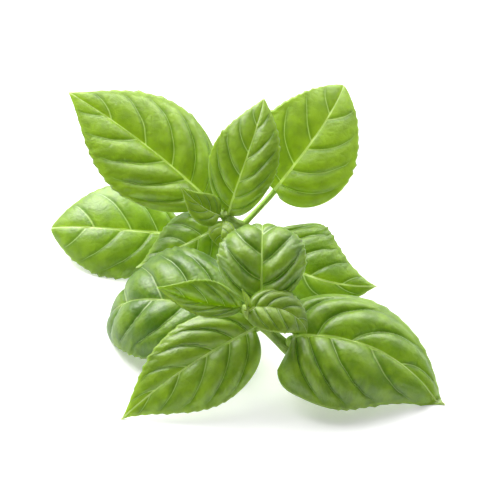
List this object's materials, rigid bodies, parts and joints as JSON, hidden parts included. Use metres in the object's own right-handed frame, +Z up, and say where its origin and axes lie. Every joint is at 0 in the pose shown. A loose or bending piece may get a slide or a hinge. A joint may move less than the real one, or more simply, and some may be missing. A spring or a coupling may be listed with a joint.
{
  "type": "basil bunch",
  "caption": "Loose bunch of sweet basil: leafy shoot tops with quilted, toothed leaves in opposite pairs and a bud at each tip, lying on a surface.",
  "frame": {"origin": "on the surface that the bunch lies on, under the centre of its bounding box", "axes": "+Z up from the surface; +X towards the cut stem ends, which lie to the right as seen from the front; -Y towards the front shoot"},
  "size_m": [0.1318, 0.1095, 0.0607],
  "materials": {
    "leaf": "smooth, slightly waxy upper face with pressed-in veins",
    "young_leaf": "smooth and soft, paler than a grown leaf",
    "stem": "fine lengthwise ridges, satin"
  },
  "bodies": {
    "root": {"front_stem": "stem", "front_leaf_low_left": "leaf", "front_leaf_low_right": "leaf", "front_leaf_mid_top": "leaf", "front_leaf_mid_left": "leaf", "front_leaf_small_left": "young_leaf", "front_leaf_small_right": "young_leaf", "back_stem": "stem", "back_leaf_high_left": "leaf", "back_leaf_high_right": "leaf", "back_leaf_low_left": "leaf", "back_leaf_low_right": "leaf", "back_leaf_mid_top": "leaf", "back_leaf_mid_left": "leaf", "back_leaf_small_left": "young_leaf", "back_leaf_small_front": "young_leaf"}
  },
  "joints": []
}
